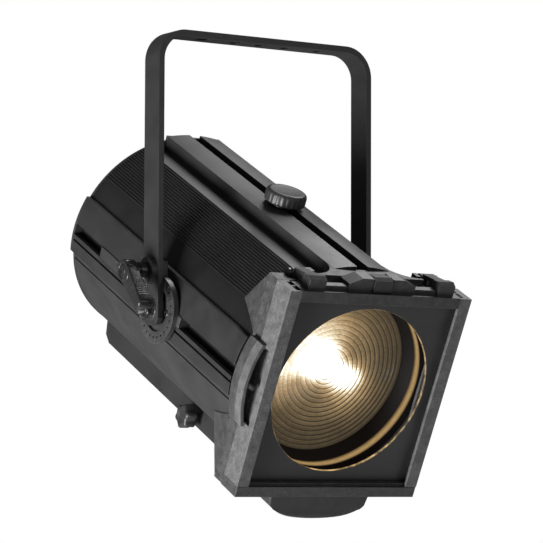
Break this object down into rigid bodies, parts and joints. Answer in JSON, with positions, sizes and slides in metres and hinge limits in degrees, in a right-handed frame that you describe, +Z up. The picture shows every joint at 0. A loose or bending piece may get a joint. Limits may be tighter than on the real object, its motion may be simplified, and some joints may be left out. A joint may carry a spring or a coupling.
{
  "type": "fresnel spotlight",
  "caption": "Theatre spotlight with a stepped lens in a square front holder, a ribbed cylindrical housing, a sliding focus carriage and a flat-bar hanging yoke with a clamped tilt disc.",
  "frame": {"origin": "centre of the hanging hole in the middle of the yoke's crown, half way through the strap", "axes": "+Z up along the hanging bolt, the lens faces -Y and 27 degrees down, +X is the lantern's left seen from behind it"},
  "size_m": [0.3025, 0.4606, 0.4824],
  "materials": {
    "black_coat": "satin black powder coat on extruded aluminium",
    "steel_coat": "satin black powder coat on steel",
    "bare_cast": "machined aluminium",
    "cast_black": "fine textured black powder coat on an aluminium casting",
    "black_plastic": "moulded",
    "black_steel": "blackened steel",
    "nickel": "bright nickel",
    "steel": "ground",
    "sheet_steel": "galvanised sheet",
    "lens_glass": "pressed borosilicate",
    "lamp_glass": "quartz",
    "reflector": "polished",
    "filament": "tungsten",
    "ceramic": "steatite",
    "brass": "plain",
    "gasket": "glass-fibre tape",
    "gland": "nylon",
    "disc_coat": "satin black coat"
  },
  "bodies": {
    "yoke": {"yoke": "steel_coat", "pivot_bolt_left": "nickel", "pivot_bolt_right": "nickel", "pivot_nuts": "black_steel", "pivot_washers": "steel", "clamp_stud": "steel", "clamp_collar": "black_plastic", "clamp_pad": "black_plastic"},
    "clamp_lever": {"clamp_lever": "black_plastic", "clamp_lever_screw": "black_steel"},
    "tilt_discs": {"tilt_disc_left": "disc_coat", "tilt_disc_right": "disc_coat", "slide_bar_left": "bare_cast", "slide_bar_right": "bare_cast", "disc_screws": "black_steel"},
    "housing": {"top_rail": "black_coat", "upper_shell_left": "black_coat", "upper_shell_right": "black_coat", "side_rail_left": "black_coat", "side_rail_right": "black_coat", "lower_shell_left": "black_coat", "lower_shell_right": "black_coat", "bottom_panel": "steel_coat", "terminal_box": "steel_coat", "cable_gland": "gland", "terminal_block": "ceramic", "rear_plate": "steel_coat", "tie_rods": "steel", "rear_screws": "black_steel", "guide_rods": "steel", "front_casting": "cast_black", "hinge_ears": "cast_black", "hinge_pins": "black_steel", "runner_left": "cast_black", "runner_right": "cast_black", "holder_screws": "black_steel", "colour_frame": "steel_coat", "front_handle": "black_plastic", "lens": "lens_glass", "lens_barrel": "bare_cast", "lens_carrier": "bare_cast", "lens_gasket": "gasket", "carrier_screws": "steel", "inner_baffle": "sheet_steel"},
    "carriage": {"carriage_bushes": "brass", "sled": "bare_cast", "carriage_strap": "sheet_steel", "reflector": "reflector", "reflector_bracket": "sheet_steel", "lampholder": "ceramic", "lamp_base": "ceramic", "lamp_glass": "lamp_glass", "lamp_filament": "filament", "focus_slider": "steel", "focus_stud": "steel", "knob_washer": "black_steel"},
    "focus_knob": {"focus_knob": "black_plastic"},
    "retainer": {"retainer": "cast_black"},
    "latch_button": {"latch_button": "black_plastic"},
    "access_knob": {"access_knob": "black_plastic"}
  },
  "joints": [
    {"name": "tilt", "type": "hinge", "parent": "yoke", "child": "tilt_discs", "pos_m": [0, 0, -0.2746], "axis": [1, 0, 0], "range_deg": [-117, 63]},
    {"name": "balance_slide", "type": "slide", "parent": "tilt_discs", "child": "housing", "axis": [0, 0.891, 0.454], "range_m": [-0.03, 0.03]},
    {"name": "focus_slide", "type": "slide", "parent": "housing", "child": "carriage", "axis": [0, 0.891, 0.454], "range_m": [-0.075, 0.11]},
    {"name": "focus_knob_turn", "type": "hinge", "parent": "carriage", "child": "focus_knob", "pos_m": [0, -0.04601, -0.16337], "axis": [0, -0.454, 0.891], "range_deg": [-180, 180]},
    {"name": "clamp_lever_turn", "type": "hinge", "parent": "yoke", "child": "clamp_lever", "pos_m": [-0.147, 0, -0.2371], "axis": [1, 0, 0], "range_deg": [-90, 50]},
    {"name": "retainer_lift", "type": "hinge", "parent": "housing", "child": "retainer", "pos_m": [0, -0.18133, -0.24802], "axis": [-1, 0, 0], "range_deg": [0, 95]},
    {"name": "latch_press", "type": "slide", "parent": "retainer", "child": "latch_button", "axis": [0, 0.891, 0.454], "range_m": [0, 0.003], "stiffness_N_per_m": 600, "springref_m": -0.002},
    {"name": "access_knob_turn", "type": "hinge", "parent": "housing", "child": "access_knob", "pos_m": [-0.06, 0.03701, -0.37808], "axis": [1, 0, 0], "range_deg": [-180, 180]}
  ]
}
